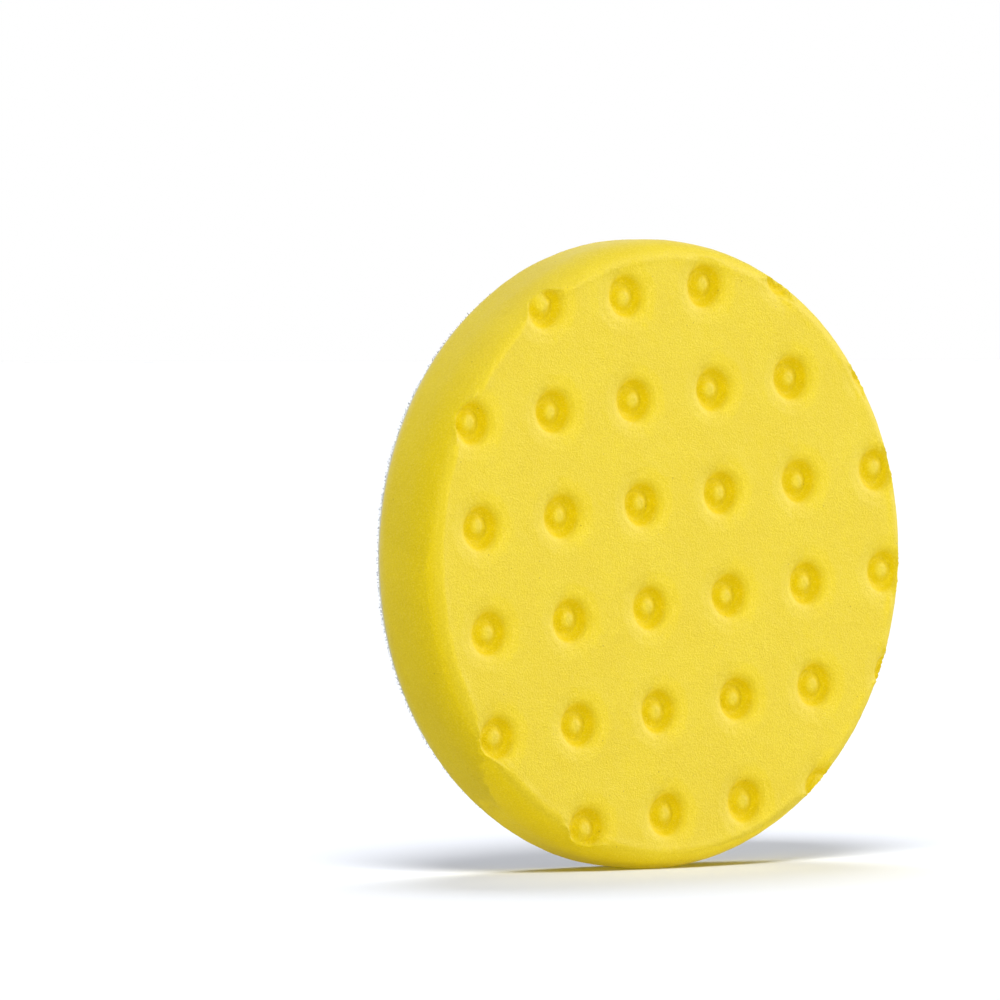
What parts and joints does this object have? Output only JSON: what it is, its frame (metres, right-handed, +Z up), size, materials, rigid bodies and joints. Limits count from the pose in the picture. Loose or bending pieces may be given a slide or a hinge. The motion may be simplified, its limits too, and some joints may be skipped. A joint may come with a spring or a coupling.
{
  "type": "foam polishing pad",
  "caption": "Round dimpled foam polishing pad with a flat hook-and-loop backing for a machine polisher.",
  "frame": {"origin": "centre of the loop face, on the pad's axis", "axes": "+Y along the pad's axis, out of the loop backing; the foam face looks along -Y; +Z up with the pad standing on its rim"},
  "size_m": [0.165, 0.0247, 0.165],
  "materials": {
    "foam": "matt open-cell polyurethane foam",
    "film": "off-white bonding film, satin",
    "ground_cloth": "knitted base cloth, matt",
    "pile": "brushed loop pile, matt"
  },
  "bodies": {
    "root": {"foam_pad": "foam", "adhesive_film": "film", "loop_ground_cloth": "ground_cloth", "loop_pile": "pile"}
  },
  "joints": []
}
